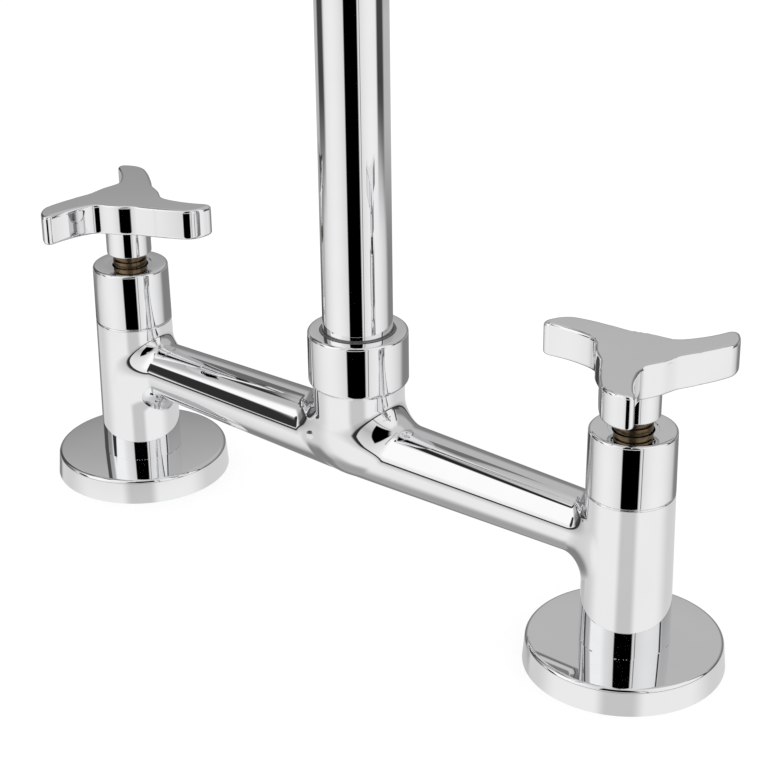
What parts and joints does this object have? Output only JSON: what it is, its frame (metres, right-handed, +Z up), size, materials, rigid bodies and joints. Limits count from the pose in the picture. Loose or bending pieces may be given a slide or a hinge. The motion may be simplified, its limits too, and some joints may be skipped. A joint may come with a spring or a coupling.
{
  "type": "kitchen mixer tap",
  "caption": "Deck-mounted bridge kitchen mixer tap: two flanged pillars with quarter-turn valves and swept three-arm handles, a filleted bridge and a swivel swan-neck spout.",
  "frame": {"origin": "on the worktop's top face, midway between the two tap holes", "axes": "+X from the left pillar to the right one as the user sees them, +Z up, and the spout points along -Y, over the sink"},
  "size_m": [0.2632, 0.2217, 0.392],
  "materials": {
    "polished_chrome": "polished chrome plate",
    "aged_brass": "dull aged brass",
    "bright_brass": "machined brass",
    "steel": "plain steel",
    "black_rubber": "black rubber",
    "grey_plastic": "dark grey nylon",
    "white_plastic": "white acetal",
    "alumina": "polished white ceramic"
  },
  "bodies": {
    "body": {"bridge_body": "polished_chrome", "spout_collar": "polished_chrome", "spout_bush": "grey_plastic", "flange_left": "polished_chrome", "flange_seal_left": "black_rubber", "shroud_left": "polished_chrome", "valve_body_left": "aged_brass", "valve_seal_left": "black_rubber", "fixed_disc_left": "alumina", "tail_left": "bright_brass", "rubber_washer_left": "black_rubber", "metal_washer_left": "steel", "back_nut_left": "bright_brass", "flange_right": "polished_chrome", "flange_seal_right": "black_rubber", "shroud_right": "polished_chrome", "valve_body_right": "aged_brass", "valve_seal_right": "black_rubber", "fixed_disc_right": "alumina", "tail_right": "bright_brass", "rubber_washer_right": "black_rubber", "metal_washer_right": "steel", "back_nut_right": "bright_brass"},
    "spout": {"spout_tube": "polished_chrome", "spout_foot": "bright_brass", "spout_o_rings": "black_rubber", "aerator_housing": "polished_chrome", "aerator_insert": "white_plastic", "aerator_seal": "black_rubber"},
    "handle_left": {"handle_left": "polished_chrome", "spindle_left": "aged_brass", "moving_disc_left": "alumina", "spindle_o_rings_left": "black_rubber", "spindle_clip_left": "steel", "grub_screw_left": "steel"},
    "handle_right": {"handle_right": "polished_chrome", "spindle_right": "aged_brass", "moving_disc_right": "alumina", "spindle_o_rings_right": "black_rubber", "spindle_clip_right": "steel", "grub_screw_right": "steel"}
  },
  "joints": [
    {"name": "spout_swivel", "type": "hinge", "parent": "body", "child": "spout", "pos_m": [0, 0, 0.075], "axis": [0, 0, 1], "continuous": true},
    {"name": "handle_left_turn", "type": "hinge", "parent": "body", "child": "handle_left", "pos_m": [-0.1016, 0, 0.08], "axis": [0, 0, 1], "range_deg": [0, 90]},
    {"name": "handle_right_turn", "type": "hinge", "parent": "body", "child": "handle_right", "pos_m": [0.1016, 0, 0.08], "axis": [0, 0, 1], "range_deg": [-90, 0]}
  ]
}
